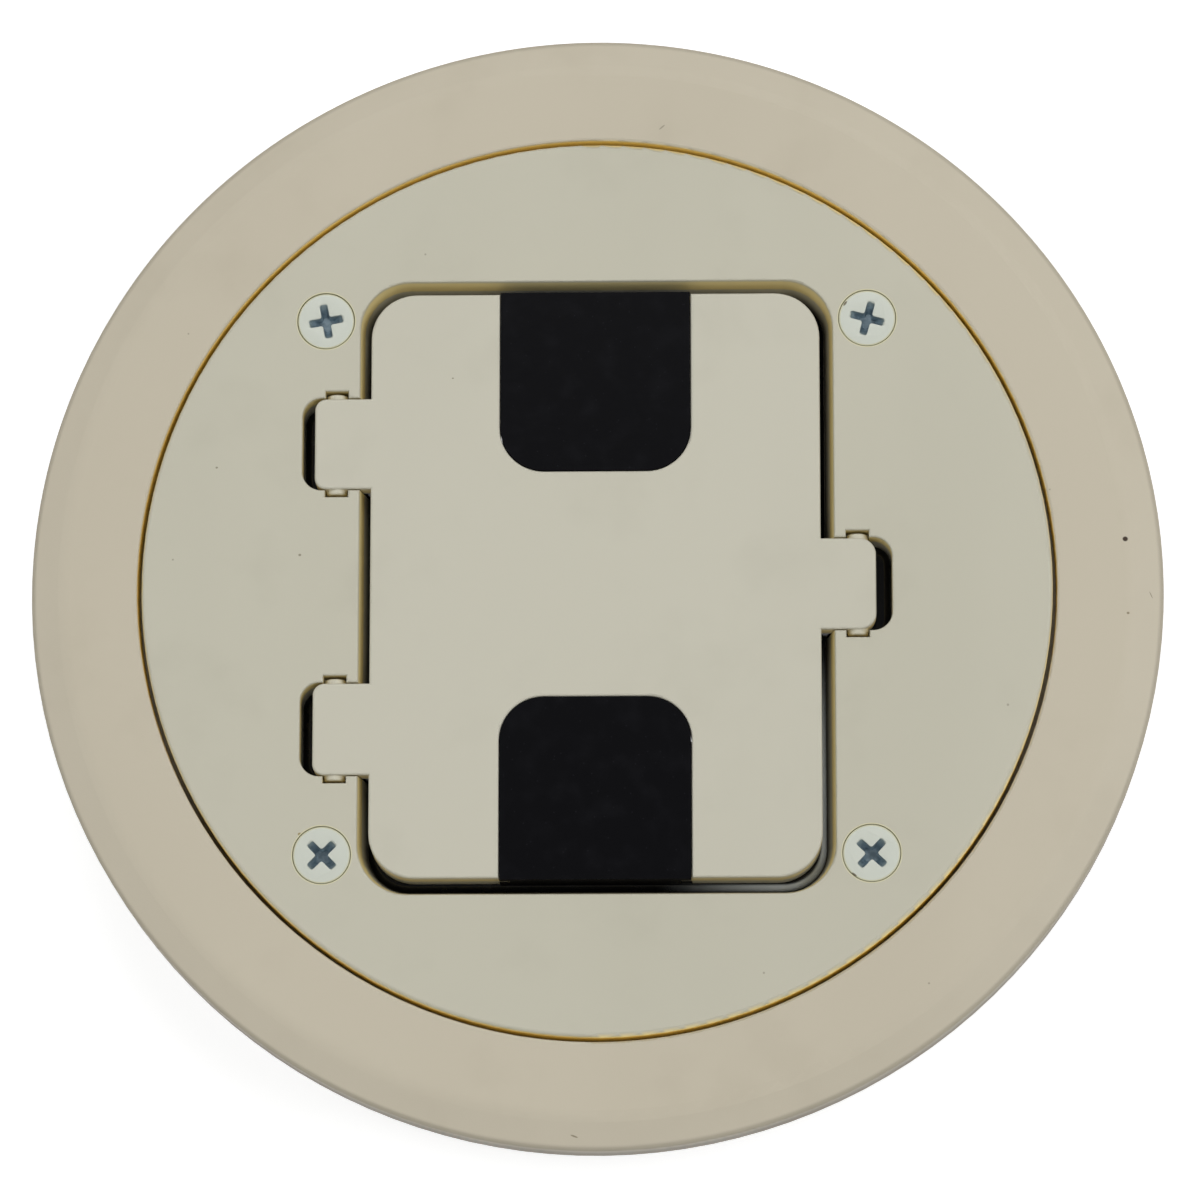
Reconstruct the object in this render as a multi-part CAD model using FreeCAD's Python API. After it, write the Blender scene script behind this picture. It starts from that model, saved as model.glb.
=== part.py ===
import FreeCAD, Part
import math
import os

Vector = FreeCAD.Vector

# A round floor box cover, in millimetres. The floor is z = 0, the cover's axis is Z, and the long
# side of the device opening runs along Y. The hinge side of the lid is -X, the latch side +X.

# Overall height
cover_height = 6.35  # floor to the flush top of ring, plate and lid

# Device opening in the plate, and the well that hangs under it
opening_width = 58.7
opening_length = 77.1
opening_corner = 6.2
opening_draft = 10.0  # degrees, inwards going down
opening_round = 0.25
well_wall = 2.0
ledge_thickness = 1.5
ledge_width = 3.2
access_corner = 3.0

# Lid body, a shallow shell
hinge_side_gap = 1.43
latch_side_gap = 1.70
near_end_gap = 2.03
far_end_gap = 1.67
lid_thickness = 4.8
lid_corner = 5.6
lid_edge_round = 0.3
lid_skin = 2.6
lid_wall = 1.8
lid_rib = 1.2

# Rubber frame with a rounded top on the well's ledge, and its ears in the tab slots
lid_gasket_width = 2.8
lid_gasket_height = 1.05
lid_gasket_foot = 0.15  # upright side below the rounded top
lid_gasket_setback = 0.05
lid_gasket_gap = 0.3  # to the underside of the lid

# Tabs of the lid with their stub pins, and the slots that take them
tab_width = 11.4
tab_side_gap = 0.15
hinge_tab_spread = 35.9  # centre to centre of the two hinge tabs
hinge_tab_reach = 2.70  # beyond the pin axis
latch_tab_reach = 2.27
hinge_tab_corner = 1.4
latch_tab_corner = 2.0
pin_setback = 2.81  # pin axis beyond the side of the opening
pin_radius = 1.3
pin_cover = 0.3  # material of the tab above its pin
pin_bed = 0.05  # and below it
pin_reach = 0.65  # beyond the side of its tab
pin_round = 0.3
slot_reach = 4.26  # slot wall beyond the pin axis
slot_corner = 2.4
notch_side_gap = 0.13
notch_floor_gap = 0.10
notch_end_gap = 0.37
slot_wall = 1.5  # material of the plate around each slot and notch
notch_block_depth = 1.95  # below the skin

# Cord exits: two U-shaped notches in the lid, closed by slide-in plugs
exit_width = 23.65
exit_spacing = 28.3  # between the closed ends of the two notches
exit_corner = 5.5
tongue_size = 1.3
tongue_depth = 1.55  # top of the tongue below the top of the lid
plug_gap = 0.1
plug_proud = 0.2  # beyond the end of the lid
plug_skin = 2.0
plug_side_wall = 3.0
plug_end_wall = 1.5

# Four flat-head machine screws on a square, with their bosses
screw_length = 19.05
screw_head_diameter = 7.0
screw_head_land = 0.25
screw_head_angle = 82.0
screw_sink = 0.1  # head below the top of the plate
screw_thread_diameter = 3.5
screw_neck_undercut = 0.2
screw_tip_chamfer = 0.5
recess_span = 4.5
recess_arm = 1.0
recess_depth = 1.8
recess_floor_span = 1.9
recess_floor_arm = 0.7
countersink_gap = 0.1  # around the head
countersink_wall = 0.65  # between countersink and opening
boss_hole_gap = 0.15  # around the thread
boss_wall = 2.1
screw_turns = {"far_left": 10.0, "far_right": -15.0, "near_left": 45.0, "near_right": 47.0}

# Washers that keep the screws captive
washer_diameter = 7.8
washer_bore_gap = 0.05  # around the neck
washer_thickness = 0.8
washer_play = 0.2  # between washer and first thread

# Cover plate: a skin with a skirt at its rim and stiffening ribs
plate_skin = 3.0
plate_edge_round = 0.55
plate_gap = 0.55  # open line all round, between plate and ring
skirt_wall = 2.6
rib_thickness = 1.4
rib_depth = 2.9  # below the skin
rib_count = 16
rib_rim_gap = 0.5  # ribs stop short of the ring's ledge

# Trim ring, one moulding with an open channel underneath
ring_flange_width = 13.15  # from the line around the plate to the outer edge
ring_bevel_width = 4.05
ring_bevel_drop = 1.35
ring_crease_round = 4.5  # soft crease between flat top and bevel
ring_edge_round = 0.6
ring_inner_round = 0.3
ring_wall = 2.4
ring_ledge_gap = 0.78  # between the ledge's bore and what hangs through it
ring_ledge_width = 4.4  # inward ledge that the plate is screwed down on
ring_ledge_thickness = 1.4

# Foam strip in the ring's channel
foam_side_gap = 0.55
foam_lift = 0.4  # its underside above the floor

# Flat gasket between the ring's ledge and the plate's skirt
seat_gasket_thickness = 0.8
seat_gasket_setback = 0.3

# Heights that several pieces share
well_depth = lid_thickness + lid_gasket_gap + lid_gasket_height
lid_bottom = cover_height - lid_thickness
ledge_top = cover_height - well_depth
well_bottom = ledge_top - ledge_thickness
skin_bottom = cover_height - plate_skin
pin_z = cover_height - pin_cover - pin_radius
tab_thickness = pin_cover + 2 * pin_radius + pin_bed
seat_top = ring_ledge_thickness + seat_gasket_thickness

# Opening, lid and tabs as seen from above
well_inset = well_depth * math.tan(math.radians(opening_draft))
lid_left = -opening_width / 2 + hinge_side_gap
lid_right = opening_width / 2 - latch_side_gap
lid_near = -opening_length / 2 + near_end_gap
lid_far = opening_length / 2 - far_end_gap
lid_centre_x = (lid_left + lid_right) / 2
lid_centre_y = (lid_near + lid_far) / 2
slot_width = tab_width + 2 * tab_side_gap
pin_x = opening_width / 2 + pin_setback
tab_places = [
    (-1, -hinge_tab_spread / 2, hinge_tab_reach, hinge_tab_corner),
    (-1, hinge_tab_spread / 2, hinge_tab_reach, hinge_tab_corner),
    (1, 0.0, latch_tab_reach, latch_tab_corner),
]

# Screws, beside the ends of the opening's long sides
neck_diameter = screw_thread_diameter - 2 * screw_neck_undercut
countersink_radius = screw_head_diameter / 2 + countersink_gap
boss_hole_radius = screw_thread_diameter / 2 + boss_hole_gap
boss_radius = boss_hole_radius + boss_wall
screw_offset = opening_width / 2 + countersink_wall + countersink_radius
screw_places = {
    "far_left": (-screw_offset, screw_offset),
    "far_right": (screw_offset, screw_offset),
    "near_left": (-screw_offset, -screw_offset),
    "near_right": (screw_offset, -screw_offset),
}

# Radii of plate and ring: the ring's ledge clears the bosses and the corners of the well
boss_reach = math.hypot(screw_offset, screw_offset) + boss_radius
corner_centre = (opening_width / 2 - opening_corner, opening_length / 2 - opening_corner)
corner_reach = math.hypot(*corner_centre) + opening_corner + well_wall
ledge_radius = max(boss_reach, corner_reach) + ring_ledge_gap
seat_radius = ledge_radius + ring_ledge_width
plate_radius = seat_radius - plate_gap
ring_radius = seat_radius + ring_flange_width

# Channel under the ring: a flat ceiling, then a slope that follows the bevel
bevel_radius = ring_radius - ring_bevel_width
bevel_slope = ring_bevel_drop / ring_bevel_width
channel_inside = seat_radius + ring_wall
channel_outside = ring_radius - ring_wall
channel_ceiling = cover_height - ring_wall
ceiling_end = bevel_radius - ring_wall * bevel_slope / 2

# Amounts with no size of their own
over = 1.0  # how far a cut runs past the face it opens
hair = 0.001  # two places nearer than this are the same


def rounded_rectangle(width, length, corner, z, x=0.0, y=0.0):
    """Closed outline of lines and corner arcs, flat at height z, centred on x, y."""
    half_w, half_l = width / 2, length / 2
    lean = corner * (1 - math.sqrt(0.5))
    edges = []
    turn = [(1, 1), (-1, 1), (-1, -1), (1, -1)]
    starts, ends = [], []
    for sx, sy in turn:
        side = Vector(x + sx * half_w, y + sy * (half_l - corner), z)
        end = Vector(x + sx * (half_w - corner), y + sy * half_l, z)
        middle = Vector(x + sx * (half_w - lean), y + sy * (half_l - lean), z)
        first, last = (side, end) if sx * sy > 0 else (end, side)
        edges.append(Part.Arc(first, middle, last).toShape())
        starts.append(first)
        ends.append(last)
    for i in range(4):
        edges.append(Part.LineSegment(ends[i], starts[(i + 1) % 4]).toShape())
    return Part.Wire(Part.__sortEdges__(edges))


def tongue_outline(root_x, end_x, centre_y, width, corner, z):
    """Closed outline with a square root at root_x and two rounded corners at end_x."""
    side = 1 if end_x > root_x else -1
    low, high = centre_y - width / 2, centre_y + width / 2
    bend_x = end_x - side * corner
    lean_x = end_x - side * corner * (1 - math.sqrt(0.5))
    lean = corner * (1 - math.sqrt(0.5))
    a, b = Vector(root_x, low, z), Vector(bend_x, low, z)
    c, d = Vector(end_x, low + corner, z), Vector(end_x, high - corner, z)
    e, f = Vector(bend_x, high, z), Vector(root_x, high, z)
    edges = [
        Part.LineSegment(a, b).toShape(),
        Part.Arc(b, Vector(lean_x, low + lean, z), c).toShape(),
        Part.LineSegment(c, d).toShape(),
        Part.Arc(d, Vector(lean_x, high - lean, z), e).toShape(),
        Part.LineSegment(e, f).toShape(),
        Part.LineSegment(f, a).toShape(),
    ]
    return Part.Wire(edges)


def prism(outline, height):
    return Part.Face(outline).extrude(Vector(0, 0, height))


def turned(points):
    """Solid of revolution about Z from a closed polygon of (radius, z)."""
    outline = Part.makePolygon([Vector(r, 0, z) for r, z in points + points[:1]])
    return Part.Face(outline).revolve(Vector(0, 0, 0), Vector(0, 0, 1), 360)


def block(x0, x1, y0, y1, z0, z1):
    low = Vector(min(x0, x1), min(y0, y1), z0)
    return Part.makeBox(abs(x1 - x0), abs(y1 - y0), z1 - z0, low)


def joined(first, others):
    return first.fuse(others).removeSplitter()


def rounded(solid, radius, chosen):
    """The solid with the chosen edges rounded."""
    return solid.makeFillet(radius, [edge for edge in solid.Edges if chosen(edge)])


def circle_at(radius, z):
    """Test for the round edge of a given radius and height about the cover's axis."""

    def test(edge):
        curve = edge.Curve
        if not isinstance(curve, Part.Circle):
            return False
        on_axis = math.hypot(curve.Center.x, curve.Center.y) < hair
        return on_axis and abs(curve.Radius - radius) < hair and abs(curve.Center.z - z) < hair

    return test


def flat_at(z):
    """Test for an edge that lies wholly at height z."""

    def test(edge):
        box = edge.BoundBox
        return abs(box.ZMin - z) < hair and abs(box.ZMax - z) < hair

    return test


def ear_rim(root, z):
    """Test for an edge at height z that isn't the square root of an ear."""

    def test(edge):
        box = edge.BoundBox
        return flat_at(z)(edge) and max(abs(box.XMin), abs(box.XMax)) > root + hair

    return test


def trim_ring():
    """Flange ring: bevelled top, upright edge, hollow underneath, ledge for the plate."""
    edge_height = cover_height - ring_bevel_drop
    ceiling_drop = (channel_outside - ceiling_end) * bevel_slope
    ring = turned(
        [
            (ledge_radius, 0),
            (channel_inside, 0),
            (channel_inside, channel_ceiling),
            (ceiling_end, channel_ceiling),
            (channel_outside, channel_ceiling - ceiling_drop),
            (channel_outside, 0),
            (ring_radius, 0),
            (ring_radius, edge_height),
            (bevel_radius, cover_height),
            (seat_radius, cover_height),
            (seat_radius, ring_ledge_thickness),
            (ledge_radius, ring_ledge_thickness),
        ]
    )
    ring = rounded(ring, ring_crease_round, circle_at(bevel_radius, cover_height))
    ring = rounded(ring, ring_edge_round, circle_at(ring_radius, edge_height))
    return rounded(ring, ring_inner_round, circle_at(seat_radius, cover_height))


def ring_foam():
    """Soft strip that seals the ring to the floor."""
    inside = channel_inside + foam_side_gap
    outside = ceiling_end - foam_side_gap
    low, high = foam_lift, channel_ceiling
    return turned([(inside, low), (outside, low), (outside, high), (inside, high)])


def seat_gasket():
    """Flat rubber washer that the plate's skirt presses on the ring's ledge."""
    inside = ledge_radius + seat_gasket_setback
    outside = plate_radius - seat_gasket_setback
    low, high = ring_ledge_thickness, seat_top
    return turned([(inside, low), (outside, low), (outside, high), (inside, high)])


def plate_shell():
    """Skin and skirt of the plate, before anything is added or cut."""
    skirt_inside = plate_radius - skirt_wall
    shell = turned(
        [
            (0, skin_bottom),
            (skirt_inside, skin_bottom),
            (skirt_inside, seat_top),
            (plate_radius, seat_top),
            (plate_radius, cover_height),
            (0, cover_height),
        ]
    )
    return rounded(shell, plate_edge_round, circle_at(plate_radius, cover_height))


def plate_ribs():
    """Radial ribs under the skin, inside the ring's ledge."""
    length = ledge_radius - rib_rim_gap
    half = rib_thickness / 2
    ribs = []
    for i in range(rib_count):
        rib = block(0, length, -half, half, skin_bottom - rib_depth, skin_bottom)
        rib.rotate(Vector(0, 0, 0), Vector(0, 0, 1), 360.0 * i / rib_count)
        ribs.append(rib)
    return ribs


def tab_tubs():
    """Walls and floors under the skin, around the tab slots and the pin notches beside them."""
    slot_end = pin_x + slot_reach + slot_wall
    width, corner = slot_width + 2 * slot_wall, slot_corner + slot_wall
    half = tab_width / 2 + pin_reach + notch_end_gap + slot_wall
    inner = opening_width / 2
    notch_end = pin_x + pin_radius + notch_side_gap + slot_wall
    low = skin_bottom - notch_block_depth
    tubs = []
    for side, y, _, _ in tab_places:
        outline = tongue_outline(side * inner, side * slot_end, y, width, corner, well_bottom)
        tubs.append(prism(outline, skin_bottom - well_bottom))
        tubs.append(block(side * inner, side * notch_end, y - half, y + half, low, skin_bottom))
    return tubs


def tab_cuts():
    """Slots that the lid's tabs swing in, open to the well, and the open notches for their pins."""
    inside = opening_width / 2 - well_inset - over
    slot_end = pin_x + slot_reach
    half_x = pin_radius + notch_side_gap
    half_y = tab_width / 2 + pin_reach + notch_end_gap
    notch_floor = pin_z - pin_radius - notch_floor_gap
    top = cover_height + over
    cuts = []
    for side, y, _, _ in tab_places:
        outline = tongue_outline(side * inside, side * slot_end, y, slot_width, slot_corner, ledge_top)
        cuts.append(prism(outline, top - ledge_top))
        x = side * pin_x
        cuts.append(block(x - half_x, x + half_x, y - half_y, y + half_y, notch_floor, top))
    return cuts


def opening_cuts():
    """The drafted opening down to the ledge, and the access hole through the ledge."""
    spread = over * math.tan(math.radians(opening_draft))
    outlines = []
    for growth, z in ((-well_inset, ledge_top), (spread, cover_height + over)):
        width, length = opening_width + 2 * growth, opening_length + 2 * growth
        outlines.append(rounded_rectangle(width, length, opening_corner + growth, z))
    mouth = Part.makeLoft(outlines, True, True)
    inset = 2 * (well_inset + ledge_width)
    hole = rounded_rectangle(opening_width - inset, opening_length - inset, access_corner, well_bottom - over)
    return [mouth, prism(hole, ledge_thickness + 2 * over)]


def screw_hole(x, y):
    """Countersunk clearance hole through plate and boss."""
    half_angle = math.radians(screw_head_angle / 2)
    cone_depth = (countersink_radius - boss_hole_radius) / math.tan(half_angle)
    land = cover_height - screw_sink - screw_head_land
    hole = turned(
        [
            (0, well_bottom - over),
            (boss_hole_radius, well_bottom - over),
            (boss_hole_radius, land - cone_depth),
            (countersink_radius, land),
            (countersink_radius, cover_height + over),
            (0, cover_height + over),
        ]
    )
    hole.translate(Vector(x, y, 0))
    return hole


def mouth_edge(edge):
    """Test for an edge of the opening, a slot or a notch in the plate's top face."""
    box = edge.BoundBox
    countersink = False
    if isinstance(edge.Curve, Part.Circle):
        countersink = abs(edge.Curve.Radius - countersink_radius) < hair
    inside = max(abs(box.XMin), abs(box.XMax)) < pin_x + slot_reach + hair
    return flat_at(cover_height)(edge) and inside and not countersink


def cover_plate():
    """Round plate with the device opening, its well, the tab slots and the screw bosses."""
    wall_outline = rounded_rectangle(
        opening_width + 2 * well_wall, opening_length + 2 * well_wall, opening_corner + well_wall, well_bottom
    )
    added = [prism(wall_outline, skin_bottom - well_bottom)]
    for x, y in screw_places.values():
        height = skin_bottom - well_bottom
        added.append(Part.makeCylinder(boss_radius, height, Vector(x, y, well_bottom)))
    plate = joined(plate_shell(), added + plate_ribs() + tab_tubs())
    cuts = opening_cuts() + tab_cuts()
    cuts += [screw_hole(x, y) for x, y in screw_places.values()]
    for cut in cuts:
        plate = plate.cut(cut)
    return rounded(plate.removeSplitter(), opening_round, mouth_edge)


def lid_gasket():
    """Rubber frame on the ledge of the well, with an ear that fills the floor of each tab slot."""
    setback = well_inset + lid_gasket_setback
    width, length = opening_width - 2 * setback, opening_length - 2 * setback
    corner = opening_corner - setback
    top_round = lid_gasket_height - lid_gasket_foot
    frame = prism(rounded_rectangle(width, length, corner, ledge_top), lid_gasket_height)
    inner_width, inner_length = width - 2 * lid_gasket_width, length - 2 * lid_gasket_width
    hole = rounded_rectangle(inner_width, inner_length, corner - lid_gasket_width, ledge_top - over)
    frame = frame.cut(prism(hole, lid_gasket_height + 2 * over))
    frame = rounded(frame, top_round, flat_at(ledge_top + lid_gasket_height))
    root = width / 2 - lid_gasket_width / 2
    end = pin_x + slot_reach - lid_gasket_setback
    ear_width, ear_corner = slot_width - 2 * lid_gasket_setback, slot_corner - lid_gasket_setback
    ears = []
    for side, y, _, _ in tab_places:
        outline = tongue_outline(side * root, side * end, y, ear_width, ear_corner, ledge_top)
        ear = prism(outline, lid_gasket_height)
        ears.append(rounded(ear, top_round, ear_rim(root, ledge_top + lid_gasket_height)))
    return joined(frame, ears)


def exit_outline(side, growth, start, z):
    """Outline of a cord exit seen from above, grown by a wall or shrunk by a gap."""
    closed_end = lid_centre_y + side * (exit_spacing / 2 - growth)
    width, corner = exit_width + 2 * growth, exit_corner + growth
    outline = tongue_outline(start, closed_end, 0.0, width, corner, z)
    outline.rotate(Vector(0, 0, 0), Vector(0, 0, 1), 90)
    outline.translate(Vector(lid_centre_x, 0, 0))
    return outline


def lid_pocket():
    """Hollow of the lid's underside, clear of the walls round the two cord exits."""
    width = lid_right - lid_left - 2 * lid_wall
    length = lid_far - lid_near - 2 * lid_wall
    depth = lid_thickness - lid_skin
    bottom = lid_bottom - over
    outline = rounded_rectangle(width, length, lid_corner - lid_wall, bottom, lid_centre_x, lid_centre_y)
    pocket = prism(outline, depth + over)
    for side, end in ((-1, lid_near), (1, lid_far)):
        housing = exit_outline(side, lid_wall, end + side * over, bottom)
        pocket = pocket.cut(prism(housing, depth + over))
    for x in (-exit_width / 2, exit_width / 2):
        left = lid_centre_x + x - lid_rib / 2
        pocket = pocket.cut(block(left, left + lid_rib, lid_near, lid_far, bottom, cover_height))
    middle = lid_centre_y - lid_rib / 2
    return pocket.cut(block(lid_left, lid_right, middle, middle + lid_rib, bottom, cover_height))


def lid():
    """Flip lid: shell with three pinned tabs and two notches with guide tongues."""
    width, length = lid_right - lid_left, lid_far - lid_near
    outline = rounded_rectangle(width, length, lid_corner, lid_bottom, lid_centre_x, lid_centre_y)
    body = prism(outline, lid_thickness)
    tabs = []
    for side, y, reach, corner in tab_places:
        root = (lid_left if side < 0 else lid_right) - side * lid_wall
        tip = side * (pin_x + reach)
        outline = tongue_outline(root, tip, y, tab_width, corner, cover_height - tab_thickness)
        tabs.append(prism(outline, tab_thickness))
    body = joined(body, tabs)
    for side, end in ((-1, lid_near), (1, lid_far)):
        notch = exit_outline(side, 0.0, end + side * over, lid_bottom - over)
        body = body.cut(prism(notch, lid_thickness + 2 * over))
    body = rounded(body.removeSplitter(), lid_edge_round, flat_at(cover_height))
    body = body.cut(lid_pocket())
    added = []
    span = tab_width + 2 * pin_reach
    for side, y, _, _ in tab_places:
        start = Vector(side * pin_x, y - span / 2, pin_z)
        pin = Part.makeCylinder(pin_radius, span, start, Vector(0, 1, 0))
        added.append(rounded(pin, pin_round, lambda edge: isinstance(edge.Curve, Part.Circle)))
    tongue_top = cover_height - tongue_depth
    for side, end in ((-1, lid_near), (1, lid_far)):
        start = lid_centre_y + side * (exit_spacing / 2 + exit_corner)
        for across in (-1, 1):
            wall = lid_centre_x + across * exit_width / 2
            tip = wall - across * tongue_size
            root = wall + across * lid_wall / 2
            added.append(block(tip, root, start, end, tongue_top - tongue_size, tongue_top))
    return joined(body, added)


def cord_plug(side):
    """Slide-in plug of a cord exit: grooved sides, hollow underside."""
    end = lid_far + plug_proud if side > 0 else lid_near - plug_proud
    plug = prism(exit_outline(side, -plug_gap, end, lid_bottom), lid_thickness)
    groove_top = cover_height - tongue_depth + plug_gap
    groove_low = groove_top - tongue_size - 2 * plug_gap
    start = lid_centre_y + side * exit_spacing / 2
    for across in (-1, 1):
        wall = lid_centre_x + across * exit_width / 2
        tip = wall - across * (tongue_size + plug_gap)
        plug = plug.cut(block(tip, wall, start, end + side * over, groove_low, groove_top))
    half = exit_width / 2 - plug_gap - plug_side_wall
    near, far = start + side * (plug_gap + plug_end_wall), end - side * plug_end_wall
    top = cover_height - plug_skin
    hollow = block(lid_centre_x - half, lid_centre_x + half, near, far, lid_bottom - over, top)
    hollow = rounded(hollow, plug_end_wall, lambda edge: edge.BoundBox.ZLength > hair)
    return plug.cut(hollow).removeSplitter()


def recess_cross(span, arm, z):
    """Twelve-cornered outline of the driver recess at height z."""
    long, short = span / 2, arm / 2
    quarter = [(long, -short), (long, short), (short, short)]
    points = []
    for c, s in ((1, 0), (0, 1), (-1, 0), (0, -1)):
        for x, y in quarter:
            points.append(Vector(x * c - y * s, x * s + y * c, z))
    return Part.makePolygon(points + points[:1])


def cover_screw(name):
    """Flat-head machine screw with a cross recess, necked under its head."""
    half_angle = math.radians(screw_head_angle / 2)
    top = cover_height - screw_sink
    head, neck, thread = screw_head_diameter / 2, neck_diameter / 2, screw_thread_diameter / 2
    cone_bottom = top - screw_head_land - (head - neck) / math.tan(half_angle)
    thread_top = well_bottom - washer_thickness - washer_play
    tip = top - screw_length
    screw = turned(
        [
            (0, top),
            (head, top),
            (head, top - screw_head_land),
            (neck, cone_bottom),
            (neck, thread_top),
            (thread, thread_top),
            (thread, tip + screw_tip_chamfer),
            (thread - screw_tip_chamfer, tip),
            (0, tip),
        ]
    )
    floor = recess_cross(recess_floor_span, recess_floor_arm, top - recess_depth)
    mouth = recess_cross(recess_span, recess_arm, top)
    screw = screw.cut(Part.makeLoft([floor, mouth], True, True))
    screw.rotate(Vector(0, 0, 0), Vector(0, 0, 1), screw_turns[name])
    x, y = screw_places[name]
    screw.translate(Vector(x, y, 0))
    return screw


def screw_washer(name):
    """Fibre washer under the boss: its bore grips the neck, so the screw can't drop out."""
    outer, inner = washer_diameter / 2, neck_diameter / 2 + washer_bore_gap
    low = well_bottom - washer_thickness
    washer = turned([(inner, low), (outer, low), (outer, well_bottom), (inner, well_bottom)])
    x, y = screw_places[name]
    washer.translate(Vector(x, y, 0))
    return washer


pieces = {
    "trim_ring": trim_ring(),
    "ring_foam": ring_foam(),
    "seat_gasket": seat_gasket(),
    "cover_plate": cover_plate(),
    "lid_gasket": lid_gasket(),
    "lid": lid(),
    "cord_plug_near": cord_plug(-1),
    "cord_plug_far": cord_plug(1),
}
for place in screw_places:
    pieces["cover_screw_" + place] = cover_screw(place)
    pieces["screw_washer_" + place] = screw_washer(place)

os.makedirs("parts", exist_ok=True)
for name, shape in pieces.items():
    if len(shape.Solids) == 1:
        shape = shape.Solids[0]
    shape.exportStep("parts/" + name + ".step")
    state = "valid" if shape.isValid() else "NOT VALID"
    print(name, state, len(shape.Solids), "solid", round(shape.Volume, 2))
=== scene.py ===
import math

import bmesh
import bpy
from mathutils import Matrix, Vector


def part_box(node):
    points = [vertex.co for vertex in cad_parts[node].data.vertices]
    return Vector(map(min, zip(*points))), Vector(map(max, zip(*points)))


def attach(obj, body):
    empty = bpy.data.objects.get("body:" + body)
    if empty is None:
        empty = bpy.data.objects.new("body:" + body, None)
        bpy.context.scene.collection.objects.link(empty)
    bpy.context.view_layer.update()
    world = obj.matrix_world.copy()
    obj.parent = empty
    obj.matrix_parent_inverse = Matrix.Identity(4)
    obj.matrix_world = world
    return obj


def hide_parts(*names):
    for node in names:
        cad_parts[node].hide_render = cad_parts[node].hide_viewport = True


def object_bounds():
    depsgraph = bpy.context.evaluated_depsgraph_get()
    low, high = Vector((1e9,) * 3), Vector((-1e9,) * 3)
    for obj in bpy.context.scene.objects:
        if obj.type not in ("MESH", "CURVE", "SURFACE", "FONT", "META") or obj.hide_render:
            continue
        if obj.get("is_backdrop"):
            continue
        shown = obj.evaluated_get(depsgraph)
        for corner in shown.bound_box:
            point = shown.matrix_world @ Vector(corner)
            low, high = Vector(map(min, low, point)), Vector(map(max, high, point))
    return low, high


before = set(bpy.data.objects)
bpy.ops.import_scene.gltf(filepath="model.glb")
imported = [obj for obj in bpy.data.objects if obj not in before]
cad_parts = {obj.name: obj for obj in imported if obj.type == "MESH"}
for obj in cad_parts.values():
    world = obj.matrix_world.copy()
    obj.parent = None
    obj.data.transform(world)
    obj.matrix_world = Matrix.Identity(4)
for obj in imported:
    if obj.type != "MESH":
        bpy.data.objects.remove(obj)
cad_low, cad_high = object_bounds()
top = cad_high.z

# Trim ring. One moulding in almond PVC from a spark-eroded mould, which leaves an even, fine satin
# grain. Its edge is bevelled and rounded so that feet and brooms slide over it, and it has gathered a
# few pinholes of dirt, one brown burn mark and a short scratch.
mm = 0.001
ring_almond = "#c0b8a5"
ring_painted_glow = "#ffe790"
ring_smudge = "#a39a86"
dirt_brown = "#6b6353"
edge_shade_brown = "#6f6656"
smudge_size = 11 * mm
flow_size = 26 * mm
dirt_spacing = 5.5 * mm
dirt_patch = 18 * mm
grain_size = 0.22 * mm
grain_height = 0.012 * mm
glow_start = 0.05
glow_fade = 0.4
edge_shade_reach = (69.1 * mm, 69.5 * mm)
edge_shade_start = 1.4 * mm
edge_shade_full = 4.5 * mm


def linear(colour):
    """The linear RGBA of an sRGB colour written as #rrggbb."""
    parts = [int(colour[i : i + 2], 16) / 255 for i in (1, 3, 5)]
    return [p / 12.92 if p <= 0.04045 else ((p + 0.055) / 1.055) ** 2.4 for p in parts] + [1.0]


def add(tree, kind, inputs=None, **settings):
    """Add a node: its settings first, then its inputs, each a value or another node's socket."""
    node = tree.nodes.new(kind)
    for name, value in settings.items():
        setattr(node, name, value)
    for name, value in (inputs or {}).items():
        if isinstance(value, bpy.types.NodeSocket):
            tree.links.new(value, node.inputs[name])
        else:
            node.inputs[name].default_value = value
    return node


def surface(name, **inputs):
    """A new material with its tree, its Principled shader and the object's coordinates."""
    material = bpy.data.materials.new(name)
    material.use_nodes = True
    tree = material.node_tree
    shader = tree.nodes["Principled BSDF"]
    for key, value in inputs.items():
        shader.inputs[key.replace("_", " ")].default_value = value
    place = add(tree, "ShaderNodeTexCoord").outputs["Object"]
    return material, tree, shader, place


def tint(tree, amount, colour, other):
    """Mix from one colour to the other by an amount from 0 to 1."""
    mix = add(tree, "ShaderNodeMix", {0: amount, 6: colour, 7: other}, data_type="RGBA")
    return mix.outputs[2]


def ranged(tree, value, low, high, to_low=0.0, to_high=1.0):
    """The value's way from low to high, as a smooth step."""
    steps = {"Value": value, 1: low, 2: high, 3: to_low, 4: to_high}
    return add(tree, "ShaderNodeMapRange", steps, interpolation_type="SMOOTHSTEP").outputs[0]


def both(tree, one, other):
    """The product of two masks."""
    return add(tree, "ShaderNodeMath", {0: one, 1: other}, operation="MULTIPLY").outputs[0]


def around(tree, place, axis):
    """Distance from an upright axis, or from its mirror images in the two middle planes."""
    folded = add(tree, "ShaderNodeVectorMath", {0: place}, operation="ABSOLUTE").outputs[0]
    aside = add(tree, "ShaderNodeVectorMath", {0: folded, 1: axis}, operation="SUBTRACT").outputs[0]
    level = add(tree, "ShaderNodeVectorMath", {0: aside, 1: (1, 1, 0)}, operation="MULTIPLY").outputs[0]
    return add(tree, "ShaderNodeVectorMath", {0: level}, operation="LENGTH").outputs["Value"]


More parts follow.
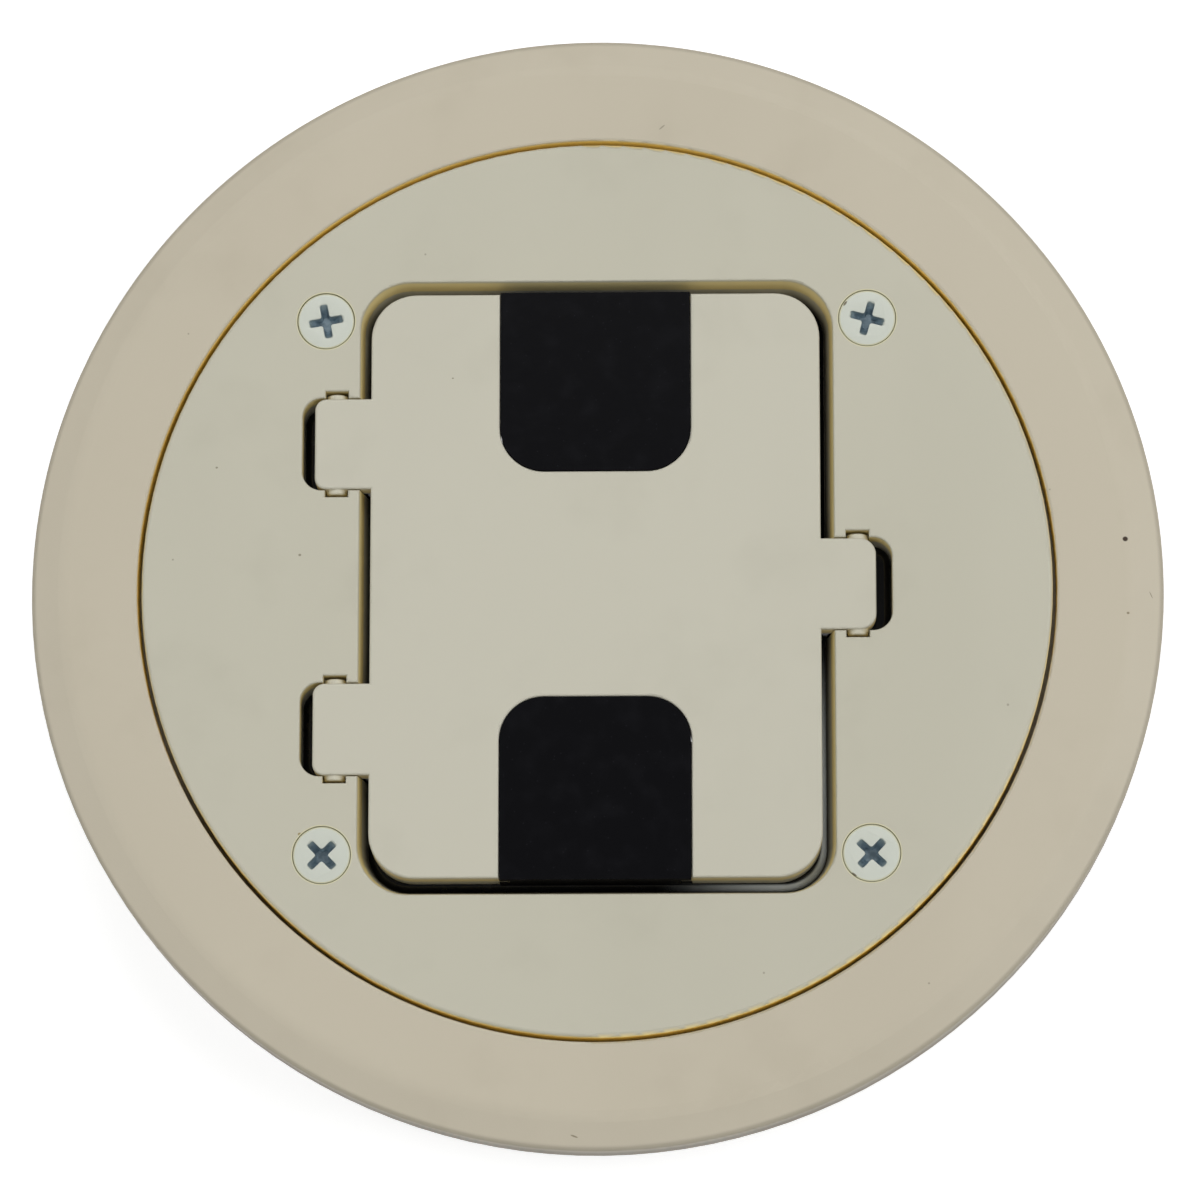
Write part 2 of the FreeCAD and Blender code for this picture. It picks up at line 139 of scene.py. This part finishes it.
def outside(tree, place, corner):
    """Distance from an upright block about the middle that ends at a corner, zero inside it."""
    folded = add(tree, "ShaderNodeVectorMath", {0: place}, operation="ABSOLUTE").outputs[0]
    past = add(tree, "ShaderNodeVectorMath", {0: folded, 1: corner}, operation="SUBTRACT").outputs[0]
    past = add(tree, "ShaderNodeVectorMath", {0: past, 1: (0, 0, 0)}, operation="MAXIMUM").outputs[0]
    level = add(tree, "ShaderNodeVectorMath", {0: past, 1: (1, 1, 0)}, operation="MULTIPLY").outputs[0]
    return add(tree, "ShaderNodeVectorMath", {0: level}, operation="LENGTH").outputs["Value"]


def mark(tree, place, x, y, length, width, turn=0.0):
    """A mask, 1 inside a small long spot at x, y in millimetres on top of the piece."""
    centred = {
        "Vector": place,
        "Location": (x * mm, y * mm, 0),
        "Rotation": (0, 0, math.radians(turn)),
        "Scale": (length * mm / 2, width * mm / 2, 1000.0),
    }
    spot = add(tree, "ShaderNodeMapping", centred, vector_type="TEXTURE").outputs[0]
    far = add(tree, "ShaderNodeVectorMath", {0: spot}, operation="LENGTH").outputs["Value"]
    return ranged(tree, far, 1.25, 0.75)


def moulded_almond(name, almond, smudge, marks, glows):
    """Almond PVC: satin grain, faint smudges, pinholes of dirt, and a yellow glow painted in the gaps,
    painted light that stands in for light passing through the plastic.

    A mark is x, y, length, width, turn and colour. A painted glow is its colour, the corner of a block with
    the distances outside it where it starts and is full, and the depths where it is full and ends,
    all in millimetres but the corner.
    """
    material, tree, shader, place = surface(name, IOR=1.53, Specular_IOR_Level=0.3)
    smudges = add(tree, "ShaderNodeTexNoise", {"Vector": place, "Scale": 1 / smudge_size, "Detail": 4.0})
    streaks = add(tree, "ShaderNodeMapping", {"Vector": place, "Scale": (1.0, 0.35, 1.0)}).outputs[0]
    flow = add(tree, "ShaderNodeTexNoise", {"Vector": streaks, "Scale": 1 / flow_size, "Detail": 2.0})
    dirty = ranged(tree, smudges.outputs[0], 0.50, 0.80, 0.0, 0.16)
    colour = tint(tree, dirty, linear(almond), linear(smudge))
    colour = tint(tree, ranged(tree, flow.outputs[0], 0.42, 0.75, 0.0, 0.10), colour, linear(smudge))
    pits = add(tree, "ShaderNodeTexVoronoi", {"Vector": place, "Scale": 1 / dirt_spacing})
    pit_size = add(tree, "ShaderNodeTexNoise", {"Vector": place, "Scale": 1 / dirt_patch, "Detail": 0.0})
    reach = ranged(tree, pit_size.outputs[0], 0.50, 0.75, 0.0, 0.030)
    near_pit = add(tree, "ShaderNodeMath", {0: pits.outputs["Distance"], 1: reach}, operation="LESS_THAN")
    pit_share = add(tree, "ShaderNodeMath", {0: near_pit.outputs[0], 1: 0.45}, operation="MULTIPLY")
    colour = tint(tree, pit_share.outputs[0], colour, linear(dirt_brown))
    for x, y, length, width, turn, stain in marks:
        colour = tint(tree, mark(tree, place, x, y, length, width, turn), colour, linear(stain))
    height = add(tree, "ShaderNodeSeparateXYZ", {0: place}).outputs["Z"]
    # Painted glow: yellow light painted on gap walls just below the top, standing in for light through the
    # plastic.
    for glow, corner, start, full, depth, end in glows:
        glowing = ranged(tree, height, top - glow_start * mm, top - depth * mm)
        glowing = both(tree, glowing, ranged(tree, height, top - (end + glow_fade) * mm, top - end * mm))
        glowing = both(tree, glowing, ranged(tree, outside(tree, place, corner), start * mm, full * mm))
        colour = tint(tree, glowing, colour, linear(glow))
    tree.links.new(colour, shader.inputs["Base Color"])
    grain = add(tree, "ShaderNodeTexNoise", {"Vector": place, "Scale": 1 / grain_size, "Detail": 2.0})
    worn = ranged(tree, smudges.outputs[0], 0.35, 0.75, 0.50, 0.60)
    tree.links.new(worn, shader.inputs["Roughness"])
    bump = {"Height": grain.outputs[0], "Strength": 0.5, "Distance": grain_height}
    tree.links.new(add(tree, "ShaderNodeBump", bump).outputs[0], shader.inputs["Normal"])
    return material, tree, place, height


def over(tree, amount, colour):
    """Lay a colour over what the material shows, by an amount from 0 to 1."""
    base = tree.nodes["Principled BSDF"].inputs["Base Color"]
    tree.links.new(tint(tree, amount, base.links[0].from_socket, linear(colour)), base)


def dress(node, material):
    """Give a solid its finish."""
    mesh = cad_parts[node].data
    mesh.materials.clear()
    mesh.materials.append(material)


ring_marks = [
    (65.1, 5.4, 0.65, 0.6, 0, "#3a2c20"),
    (68.2, -1.5, 0.9, 0.12, -65, "#8f8774"),
    (65.3, -3.9, 0.35, 0.3, 0, "#8a8068"),
    (8.2, 58.3, 0.9, 0.18, 40, "#979080"),
    (-2.7, -68.1, 0.9, 0.2, -20, "#8d846f"),
]
# Painted glow on the ring's inner wall, in the gap round the plate.
ring_glows = [(ring_painted_glow, (0, 0, 0), 62.0, 60.8, 0.9, 4.5)]
ring_material, tree, place, height = moulded_almond(
    "moulded_almond_ring", ring_almond, ring_smudge, ring_marks, ring_glows
)
# Painted shade: the ring's upright outer edge is painted darker towards the bottom.
edge = ranged(tree, around(tree, place, (0, 0, 0)), *edge_shade_reach)
lower = ranged(tree, height, top - edge_shade_start, top - edge_shade_full, 0.25, 0.75)
over(tree, both(tree, edge, lower), edge_shade_brown)
dress("trim_ring", ring_material)

# Foam strip in the ring's channel. Closed-cell polyethylene, slit from sheet and laid in a ring, which
# seals the floor when the screws pull the cover down. Its cells, about 0.4 mm, give it a dull, pitted face.
foam_grey = "#2b2b2e"
foam_shadow = "#17171a"
foam_cell = 0.4 * mm
foam_pit = 0.1 * mm
foam, tree, shader, place = surface("closed_cell_foam", Roughness=0.9, Base_Color=linear(foam_grey))
cells = add(tree, "ShaderNodeTexVoronoi", {"Vector": place, "Scale": 1 / foam_cell}, feature="SMOOTH_F1")
shade = ranged(tree, cells.outputs["Distance"], 0.1, 0.7)
tree.links.new(tint(tree, shade, linear(foam_grey), linear(foam_shadow)), shader.inputs["Base Color"])
pits = {"Height": cells.outputs["Distance"], "Strength": 0.8, "Distance": foam_pit}
tree.links.new(add(tree, "ShaderNodeBump", pits, invert=True).outputs[0], shader.inputs["Normal"])
dress("ring_foam", foam)

# Flat gasket under the plate's skirt. Black neoprene, punched from sheet. The plate's rim presses it on
# the ring's ledge, so that only its edge is bare, deep in the gap and under the plate.
neoprene_black = "#0b0b0d"
neoprene_roughness = 0.5
neoprene_grain = 0.3 * mm
rubber_dust = 2.5 * mm
rubber_dulling = 0.18
rubber_skin = 0.01 * mm


def rubber(name, black, roughness, grain):
    """Moulded black rubber: smooth, with a little dust that dulls it in patches."""
    material, tree, shader, place = surface(name, Base_Color=linear(black), IOR=1.52)
    dust = add(tree, "ShaderNodeTexNoise", {"Vector": place, "Scale": 1 / rubber_dust, "Detail": 3.0})
    dull = ranged(tree, dust.outputs[0], 0.45, 0.75, roughness, roughness + rubber_dulling)
    tree.links.new(dull, shader.inputs["Roughness"])
    skin = add(tree, "ShaderNodeTexNoise", {"Vector": place, "Scale": 1 / grain, "Detail": 1.0})
    bump = {"Height": skin.outputs[0], "Strength": 0.4, "Distance": rubber_skin}
    tree.links.new(add(tree, "ShaderNodeBump", bump).outputs[0], shader.inputs["Normal"])
    return material


dress("seat_gasket", rubber("neoprene_sheet", neoprene_black, neoprene_roughness, neoprene_grain))

# Cover plate. The same almond PVC from another batch, a shade greener than the ring. Skin, skirt, ribs,
# well and screw bosses are one moulding, and tubs under it close the slots for the lid's tabs.
plate_almond = "#bebbaa"
plate_smudge = "#a3a08f"
plate_painted_glow = "#d8c890"
well_shade = "#3a3018"
well_corner = (23.15 * mm, 32.35 * mm, 0)
shade_start = 3.2 * mm
shade_full = 6.2 * mm
shade_end = 6.3 * mm
shade_gone = 6.6 * mm
well_reach = (7.0 * mm, 6.5 * mm)
sink_painted_glow = "#c9c5a4"
sink_reach = (3.78 * mm, 3.66 * mm)
# Painted glow: yellow light painted on the walls of the well and slots and on the plate's rim, standing in
# for light through the plastic.
plate_glows = [
    (plate_painted_glow, (0, 0, 0), 54.5, 53.5, 0.8, 2.6),
    (ring_painted_glow, (0, 0, 0), 54.0, 55.0, 0.8, 4.5),
]
plate_marks = [
    (-36.3, -31.0, 0.45, 0.35, 0, "#8f8158"),
    (-36.6, 3.9, 0.35, 0.3, 0, "#8b8673"),
    (-47.0, 15.0, 0.3, 0.25, 0, "#8b8673"),
]
plate_material, tree, place, height = moulded_almond(
    "moulded_almond_plate", plate_almond, plate_smudge, plate_marks, plate_glows
)
deep = ranged(tree, height, top - shade_start, top - shade_full, 0.0, 0.85)
deep = both(tree, deep, ranged(tree, height, top - shade_gone, top - shade_end))
deep = both(tree, deep, ranged(tree, outside(tree, place, well_corner), *well_reach))
over(tree, deep, well_shade)
low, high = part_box("cover_screw_far_right")
screw_axis = Vector(((low.x + high.x) / 2, (low.y + high.y) / 2, 0))
# Painted light: a pale yellow is painted on the plate round each countersink, standing in for light through
# the plastic in the gap round the screw head.
over(tree, ranged(tree, around(tree, place, screw_axis), *sink_reach), sink_painted_glow)
dress("cover_plate", plate_material)

# Bead frame under the lid. Moulded in soft black rubber with a polished round top, and laid on the well's
# ledge. A grey glint painted on its near right corner, a painted reflection, shows in the gap beside the
# lid.
bead_black = "#08080a"
bead_roughness = 0.16
bead_grain = 0.5 * mm
bead_corner = (22.9 * mm, 32.1 * mm, 0)
glint_grey = "#e6ecec"
glint_middle = (32 * mm, -30 * mm, 0)
glint_reach = (26 * mm, 6 * mm)
glint_band = (4.4 * mm, 4.8 * mm)
bead = rubber("moulded_rubber_bead", bead_black, bead_roughness, bead_grain)
tree = bead.node_tree
shader = tree.nodes["Principled BSDF"]
place = add(tree, "ShaderNodeTexCoord").outputs["Object"]
# Painted reflection: a pale grey glint is painted on the bead's outer edge, strongest near its near right
# corner.
off_middle = add(tree, "ShaderNodeVectorMath", {0: place, 1: glint_middle}, operation="DISTANCE")
glint_mask = ranged(tree, off_middle.outputs["Value"], *glint_reach)
glint_mask = both(tree, glint_mask, ranged(tree, outside(tree, place, bead_corner), *glint_band))
tree.links.new(tint(tree, glint_mask, linear(bead_black), linear(glint_grey)), shader.inputs["Base Color"])
dress("lid_gasket", bead)

# Flip lid. Almond PVC again, the palest of the three mouldings. Three tabs with stub pins are part of it,
# and two notches in its ends take the black plugs.
lid_almond = "#c2bfaf"
lid_smudge = "#a8a595"
lid_painted_glow = "#cdbf94"
lid_corner = (22 * mm, 31 * mm, 0)
# Painted glow: a pale yellow is painted on the lid's upright sides near the top, standing in for light
# through the plastic.
lid_glows = [(lid_painted_glow, lid_corner, 4.8, 5.2, 1.5, 2.4)]
lid_marks = [(-17.8, 26.2, 0.25, 0.2, 0, "#918c79")]
dress("lid", moulded_almond("moulded_almond_lid", lid_almond, lid_smudge, lid_marks, lid_glows)[0])

# Cord exit plugs. Black ABS from the same kind of satin mould, a little bluish in daylight, with the grey
# specks of dust that black plastic always shows.
plug_black = "#060609"
dust_grey = "#2c2c31"
dust_cloud = 3 * mm
speck_spacing = 0.9 * mm
plug_grain = 0.25 * mm
plug, tree, shader, place = surface("moulded_black_plug", Roughness=0.3, IOR=1.54, Specular_IOR_Level=0.15)
cloud = add(tree, "ShaderNodeTexNoise", {"Vector": place, "Scale": 1 / dust_cloud, "Detail": 6.0})
dusty = ranged(tree, cloud.outputs[0], 0.45, 0.8, 0.0, 0.10)
colour = tint(tree, dusty, linear(plug_black), linear(dust_grey))
specks = add(tree, "ShaderNodeTexVoronoi", {"Vector": place, "Scale": 1 / speck_spacing})
speck = ranged(tree, specks.outputs["Distance"], 0.10, 0.04, 0.0, 0.6)
colour = tint(tree, speck, colour, linear(dust_grey))
tree.links.new(colour, shader.inputs["Base Color"])
grain = add(tree, "ShaderNodeTexNoise", {"Vector": place, "Scale": 1 / plug_grain, "Detail": 2.0})
bump = {"Height": grain.outputs[0], "Strength": 0.5, "Distance": grain_height}
tree.links.new(add(tree, "ShaderNodeBump", bump).outputs[0], shader.inputs["Normal"])
for end in ("near", "far"):
    dress("cord_plug_" + end, plug)

# Cover screws. Steel number 6-32 machine screws with rolled threads, zinc plated, their heads painted in
# the cover's colour. Paint rounds the edges of the cross recess and thins out down its arms, and bare zinc
# shows at the bottom of the recess and on the neck and thread.
screw_paint = "#c6cabf"
rim_painted_glow = "#bdbb9d"
nick_brown = "#6b6450"
screw_zinc = "#9aadb7"
zinc_shadow = "#6f7f8a"
thin_grey = "#8f988c"
paint_run = 0.7 * mm
rim_reach = (3.26 * mm, 3.44 * mm)
nick_length = 0.7
nick_width = 0.25
screw_names = ["far_left", "far_right", "near_left", "near_right"]
thread_pitch = 25.4 / 32 * mm
thread_crest = 1.75 * mm
thread_root = 1.36 * mm
thread_land = thread_pitch / 8
thread_flank = (thread_crest - thread_root) * math.tan(math.radians(30))
thread_steps = 32
tip_chamfer = 0.5 * mm
neck_undercut = 0.2 * mm
recess_reach = 2.4 * mm
recess_search_depth = 2 * mm
recess_side_round = 0.28 * mm
mouth_round = 0.1 * mm
weld = 0.001 * mm
painted, tree, shader, place = surface("painted_zinc_screw", IOR=1.5, Roughness=0.4)
height = add(tree, "ShaderNodeSeparateXYZ", {0: place}).outputs["Z"]
runs = add(tree, "ShaderNodeTexNoise", {"Vector": place, "Scale": 1 / paint_run, "Detail": 3.0}).outputs[0]
ragged = add(tree, "ShaderNodeMath", {0: runs, 1: 0.5 * mm, 2: height}, operation="MULTIPLY_ADD").outputs[0]
bare = ranged(tree, ragged, top + 0.05 * mm, top - 0.12 * mm)
zinc_cloud = ranged(tree, runs, 0.35, 0.65, 0.0, 0.6)
zinc = tint(tree, zinc_cloud, linear(screw_zinc), linear(zinc_shadow))
thin_paint = ranged(tree, ragged, top - 0.8 * mm, top - 0.2 * mm, 0.0, 0.35)
zinc = tint(tree, thin_paint, zinc, linear(thin_grey))
# Painted light: a pale yellow is painted on the head's rim, standing in for light through the plastic in
# the countersink gap.
rim = ranged(tree, around(tree, place, screw_axis), *rim_reach)
paint = tint(tree, rim, linear(screw_paint), linear(rim_painted_glow))
for x, y, turn in ((31.45, -36.25, -38), (30.90, 35.50, 55)):
    nick = mark(tree, place, x, y, nick_length, nick_width, turn)
    paint = tint(tree, nick, paint, linear(nick_brown))
tree.links.new(tint(tree, bare, paint, zinc), shader.inputs["Base Color"])
tree.links.new(ranged(tree, bare, 0, 1, 0, 0.6), shader.inputs["Metallic"])


def sharp_edges(part, low, angle):
    """The edges of a part above a height that are sharper than an angle, each with its middle."""
    for edge in part.edges:
        middle = (edge.verts[0].co + edge.verts[1].co) / 2
        if edge.is_manifold and middle.z > low and edge.calc_face_angle() > angle:
            yield edge, middle


def rounded(part, edges, radius):
    """Bevel the edges to a radius."""
    bmesh.ops.bevel(part, geom=edges, offset=radius, offset_type="OFFSET", segments=3, profile=0.5,
                    affect="EDGES", material=-1, clamp_overlap=True)


for name in screw_names:
    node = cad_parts["cover_screw_" + name]
    low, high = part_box("cover_screw_" + name)
    washer_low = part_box("screw_washer_" + name)[0]
    axis = Vector(((low.x + high.x) / 2, (low.y + high.y) / 2, 0))
    neck_end = washer_low.z - neck_undercut

    head = bmesh.new()
    head.from_mesh(node.data)
    bmesh.ops.remove_doubles(head, verts=head.verts, dist=weld)
    bmesh.ops.dissolve_limit(head, angle_limit=math.radians(0.5), verts=head.verts, edges=head.edges)
    every = head.verts[:] + head.edges[:] + head.faces[:]
    bmesh.ops.bisect_plane(head, geom=every, dist=weld, plane_co=(0, 0, neck_end + 0.01 * mm),
                           plane_no=(0, 0, 1), clear_inner=True)
    bmesh.ops.holes_fill(head, edges=[edge for edge in head.edges if edge.is_boundary])
    walls = high.z - recess_search_depth
    upright = [edge for edge, middle in sharp_edges(head, walls, math.radians(60))
               if (middle - axis).xy.length < recess_reach and middle.z < high.z - 0.1 * mm
               and abs(edge.verts[0].co.z - edge.verts[1].co.z) > 1 * mm]
    rounded(head, upright, recess_side_round)
    mouth = [edge for edge, middle in sharp_edges(head, high.z - 0.01 * mm, math.radians(30))]
    rounded(head, mouth, mouth_round)

    pitch_root = thread_pitch - thread_land - 2 * thread_flank
    outline = [(thread_root, 0), (thread_root, pitch_root), (thread_crest, pitch_root + thread_flank),
               (thread_crest, thread_pitch - thread_flank), (thread_root, thread_pitch)]
    turns = math.ceil((neck_end - low.z) / thread_pitch) + 2
    thread = bmesh.new()
    corners = [thread.verts.new(axis + Vector((r, 0, low.z - 1.5 * thread_pitch + z))) for r, z in outline]
    edges = [thread.edges.new(pair) for pair in zip(corners, corners[1:])]
    bmesh.ops.spin(thread, geom=corners + edges, cent=axis, axis=(0, 0, 1), angle=math.radians(360) * turns,
                   dvec=(0, 0, thread_pitch / thread_steps), steps=thread_steps * turns)
    bmesh.ops.remove_doubles(thread, verts=thread.verts, dist=0.002 * mm)
    for height_kept, side in ((neck_end, -1), (low.z, 1)):
        every = thread.verts[:] + thread.edges[:] + thread.faces[:]
        bmesh.ops.bisect_plane(thread, geom=every, dist=0.0001 * mm, plane_co=(0, 0, height_kept),
                               plane_no=(0, 0, side), clear_inner=True)
    bmesh.ops.holes_fill(thread, edges=[edge for edge in thread.edges if edge.is_boundary])
    for vert in thread.verts:
        reach = (vert.co - axis).xy.length
        allowed = thread_crest - tip_chamfer + max(vert.co.z - low.z, 0)
        if reach > allowed:
            shrunk = (vert.co - axis).xy * allowed / reach
            vert.co.xy = axis.xy + shrunk
    bmesh.ops.recalc_face_normals(thread, faces=thread.faces)

    mesh = bpy.data.meshes.new("threaded_screw_" + name)
    head.to_mesh(mesh)
    thread.from_mesh(mesh)
    thread.to_mesh(mesh)
    head.free()
    thread.free()
    mesh.shade_smooth()
    mesh.set_sharp_from_angle(angle=math.radians(35))
    mesh.materials.append(painted)
    screw = bpy.data.objects.new("threaded_screw_" + name, mesh)
    bpy.context.scene.collection.objects.link(screw)
    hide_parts("cover_screw_" + name)
    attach(screw, "cover")

# Washers that keep the screws in the loose cover. Red-brown vulcanised fibre, punched from sheet, with the
# dull fuzzy edge that the punch leaves.
fibre_brown = "#6b2f22"
fibre_shadow = "#4a1e16"
felt_size = 0.3 * mm
fibre, tree, shader, place = surface("vulcanised_fibre", Roughness=0.75)
felt = add(tree, "ShaderNodeTexNoise", {"Vector": place, "Scale": 1 / felt_size, "Detail": 5.0})
shade = ranged(tree, felt.outputs[0], 0.35, 0.7, 0.0, 0.5)
tree.links.new(tint(tree, shade, linear(fibre_brown), linear(fibre_shadow)), shader.inputs["Base Color"])
for name in screw_names:
    dress("screw_washer_" + name, fibre)

# Studio. A white table under the cover, four soft boxes around it at 45 degrees and a dim grey room. The
# table shows white to the camera and to anything glossy, and keeps the cover's soft shadow.
table_white = "#dededd"
table_half = 3.0
table_lift = 0.62
room_strength = 0.10
lamp_size = 0.8
lamp_distance = 1.2
lamp_height = math.radians(45)
lamp_watts = (("right", 0, 6.9), ("far", 90, 5.6), ("left", 180, 4.8), ("near", 270, 3.25))
mesh = bpy.data.meshes.new("table")
sheet = bmesh.new()
bmesh.ops.create_grid(sheet, x_segments=1, y_segments=1, size=table_half)
bmesh.ops.translate(sheet, verts=sheet.verts, vec=(0, 0, cad_low.z))
sheet.to_mesh(mesh)
sheet.free()
table = bpy.data.objects.new("table", mesh)
bpy.context.scene.collection.objects.link(table)
paper, tree, shader, _ = surface("white_table", Base_Color=linear(table_white), Roughness=0.8)
path = add(tree, "ShaderNodeLightPath")
rays = {0: path.outputs["Is Camera Ray"], 1: path.outputs["Is Glossy Ray"]}
seen = add(tree, "ShaderNodeMath", rays, operation="MAXIMUM")
lift = add(tree, "ShaderNodeMath", {0: seen.outputs[0], 1: table_lift}, operation="MULTIPLY")
shader.inputs["Emission Color"].default_value = (1, 1, 1, 1)
tree.links.new(lift.outputs[0], shader.inputs["Emission Strength"])
mesh.materials.append(paper)
table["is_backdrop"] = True

world = bpy.data.worlds.new("grey_room")
world.use_nodes = True
room = world.node_tree.nodes["Background"]
room.inputs["Color"].default_value = (1, 1, 1, 1)
room.inputs["Strength"].default_value = room_strength
bpy.context.scene.world = world

for name, turn, power in lamp_watts:
    lamp = bpy.data.lights.new("soft_box_" + name, "AREA")
    lamp.shape = "SQUARE"
    lamp.size = lamp_size
    lamp.energy = power
    soft_box = bpy.data.objects.new("soft_box_" + name, lamp)
    heading = math.radians(turn)
    level = math.cos(lamp_height)
    toward = Vector((level * math.cos(heading), level * math.sin(heading), math.sin(lamp_height)))
    soft_box.location = toward * lamp_distance
    soft_box.rotation_euler = toward.to_track_quat("Z", "Y").to_euler()
    bpy.context.scene.collection.objects.link(soft_box)

# Camera. It stands 0.8 m away, 11.75 degrees off the vertical towards the near side and 6.7 degrees round
# to the right, with the long side of the lid upright in the picture.
camera_tilt = math.radians(11.75)
camera_turn = math.radians(6.69)
camera_distance = 0.8
pixels_per_mm = 8.0589
picture_pixels = 1200
picture_shift = (-2.4, -5.15)
aside = math.sin(camera_tilt)
back = Vector((aside * math.sin(camera_turn), -aside * math.cos(camera_turn), math.cos(camera_tilt)))
across = Vector((0, 1, 0)).cross(back).normalized()
upward = back.cross(across)
lens = bpy.data.cameras.new("camera")
lens.sensor_width = 36.0
lens.lens = lens.sensor_width * pixels_per_mm * camera_distance / mm / picture_pixels
lens.shift_x = -picture_shift[0] / picture_pixels
lens.shift_y = picture_shift[1] / picture_pixels
camera = bpy.data.objects.new("camera", lens)
camera.location = back * camera_distance
camera.rotation_euler = Matrix((across, upward, back)).transposed().to_euler()
bpy.context.scene.collection.objects.link(camera)
bpy.context.scene.camera = camera
bpy.context.scene.view_settings.view_transform = "Standard"

low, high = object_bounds()
